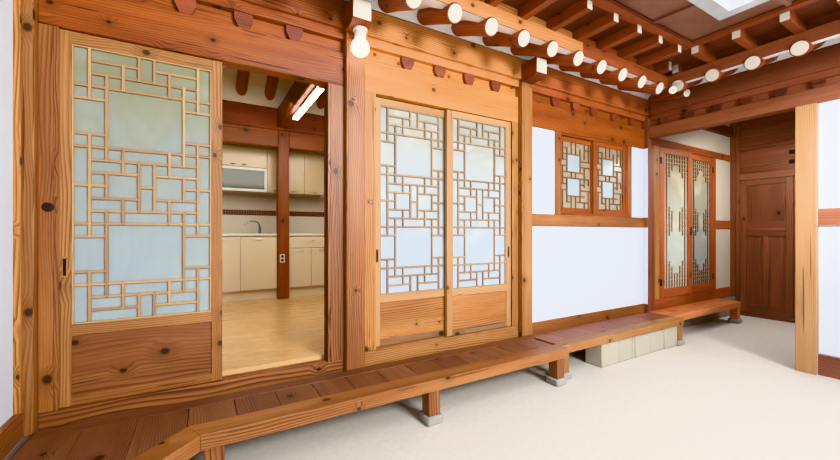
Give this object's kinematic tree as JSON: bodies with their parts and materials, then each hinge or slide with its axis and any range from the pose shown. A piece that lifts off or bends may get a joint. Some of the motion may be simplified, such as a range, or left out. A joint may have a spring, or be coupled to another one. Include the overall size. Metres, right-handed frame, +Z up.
{
  "type": "courtyard house",
  "caption": "Courtyard timber house with a tiled roof: wings round an open court, a raised wooden porch, sliding and hinged lattice doors, and a gate passage.",
  "frame": {"origin": "centre of the bounding box's footprint, on the ground", "axes": "+X to the right along the main front, seen from the court; +Y from the court into the main wing; +Z up"},
  "size_m": [13.505, 7.83, 4.57],
  "materials": {
    "timber_honey": "clear satin varnish over honey pine",
    "timber_pine": "satin varnish over pine",
    "timber_red": "satin red-brown stain",
    "timber_dark": "satin dark brown stain",
    "floor_boards": "semi-gloss",
    "plaster": "matt white plaster",
    "base_stone": "rough grey",
    "roof_tile": "matt grey fired clay",
    "ridge_tile": "matt grey fired clay",
    "canopy_sheet": "semi-gloss brown paint",
    "frosted_glass": "frosted",
    "kitchen_front": "semi-gloss cream",
    "lamp_white": "opal white"
  },
  "bodies": {
    "house": {"foundation": "base_stone", "floor": "floor_boards", "floor_east": "floor_boards", "porch_beams": "timber_honey", "porch_boards": "timber_pine", "porch_middle": "timber_pine", "porch_step": "timber_red", "column_1": "timber_honey", "column_2": "timber_honey", "column_3": "timber_honey", "column_4": "timber_honey", "passage_post": "timber_pine", "inner_frame": "timber_dark", "lintel_a": "timber_honey", "lintel_b": "timber_honey", "lintel_c": "timber_honey", "purlin_main": "timber_honey", "tie_beam_1": "timber_pine", "tie_beam_2": "timber_pine", "beam_west": "timber_pine", "beam_east": "timber_red", "ridge_beam": "timber_dark", "door_frame_a": "timber_honey", "door_frame_b": "timber_honey", "wall_frame_c": "timber_pine", "wall_c": "plaster", "window_c": "timber_red", "door_frame_d": "timber_red", "wall_d": "plaster", "gate_frame": "timber_dark", "back_wall": "plaster", "back_windows": "frosted_glass", "west_walls": "plaster", "west_window": "frosted_glass", "east_walls": "plaster", "rafters_main": "timber_red", "rafters_west": "timber_red", "rafters_east": "timber_red", "roof_main": "roof_tile", "roof_west": "roof_tile", "roof_east": "roof_tile", "ridge_stack": "ridge_tile", "eave_canopy": "canopy_sheet", "kitchen_units": "kitchen_front", "porch_lamp": "lamp_white"},
    "sliding_leaf_a_front": {"leaf_a_front": "timber_honey", "glass_a_front": "frosted_glass"},
    "sliding_leaf_a_rear": {"leaf_a_rear": "timber_honey", "glass_a_rear": "frosted_glass"},
    "sliding_leaf_b_left": {"leaf_b_left": "timber_honey", "glass_b_left": "frosted_glass"},
    "sliding_leaf_b_right": {"leaf_b_right": "timber_honey", "glass_b_right": "frosted_glass"},
    "hinged_leaf_d_left": {"leaf_d_left": "timber_red", "glass_d_left": "frosted_glass"},
    "hinged_leaf_d_right": {"leaf_d_right": "timber_red", "glass_d_right": "frosted_glass"},
    "gate_leaf_north_body": {"gate_leaf_north": "timber_dark"},
    "gate_leaf_south_body": {"gate_leaf_south": "timber_dark"}
  },
  "joints": [
    {"name": "door_a_front_slide", "type": "slide", "parent": "house", "child": "sliding_leaf_a_front", "axis": [1, 0, 0], "range_m": [0, 0.69]},
    {"name": "door_a_rear_slide", "type": "slide", "parent": "house", "child": "sliding_leaf_a_rear", "axis": [1, 0, 0], "range_m": [0, 0.69]},
    {"name": "door_b_left_slide", "type": "slide", "parent": "house", "child": "sliding_leaf_b_left", "axis": [1, 0, 0], "range_m": [0, 0.69]},
    {"name": "door_b_right_slide", "type": "slide", "parent": "house", "child": "sliding_leaf_b_right", "axis": [-1, 0, 0], "range_m": [0, 0.69]},
    {"name": "door_d_left_hinge", "type": "hinge", "parent": "house", "child": "hinged_leaf_d_left", "pos_m": [3.2705, 0.1, 1.5], "axis": [0, 0, -1], "range_deg": [-3.5, 86.5]},
    {"name": "door_d_right_hinge", "type": "hinge", "parent": "house", "child": "hinged_leaf_d_right", "pos_m": [4.8625, 0.1, 1.5], "axis": [0, 0, 1], "range_deg": [0, 90]},
    {"name": "gate_north_hinge", "type": "hinge", "parent": "house", "child": "gate_leaf_north_body", "pos_m": [5.5195, -0.01, 1.13], "axis": [0, 0, -1], "range_deg": [0, 90]},
    {"name": "gate_south_hinge", "type": "hinge", "parent": "house", "child": "gate_leaf_south_body", "pos_m": [5.5195, -1.295, 1.13], "axis": [0, 0, 1], "range_deg": [0, 90]}
  ]
}
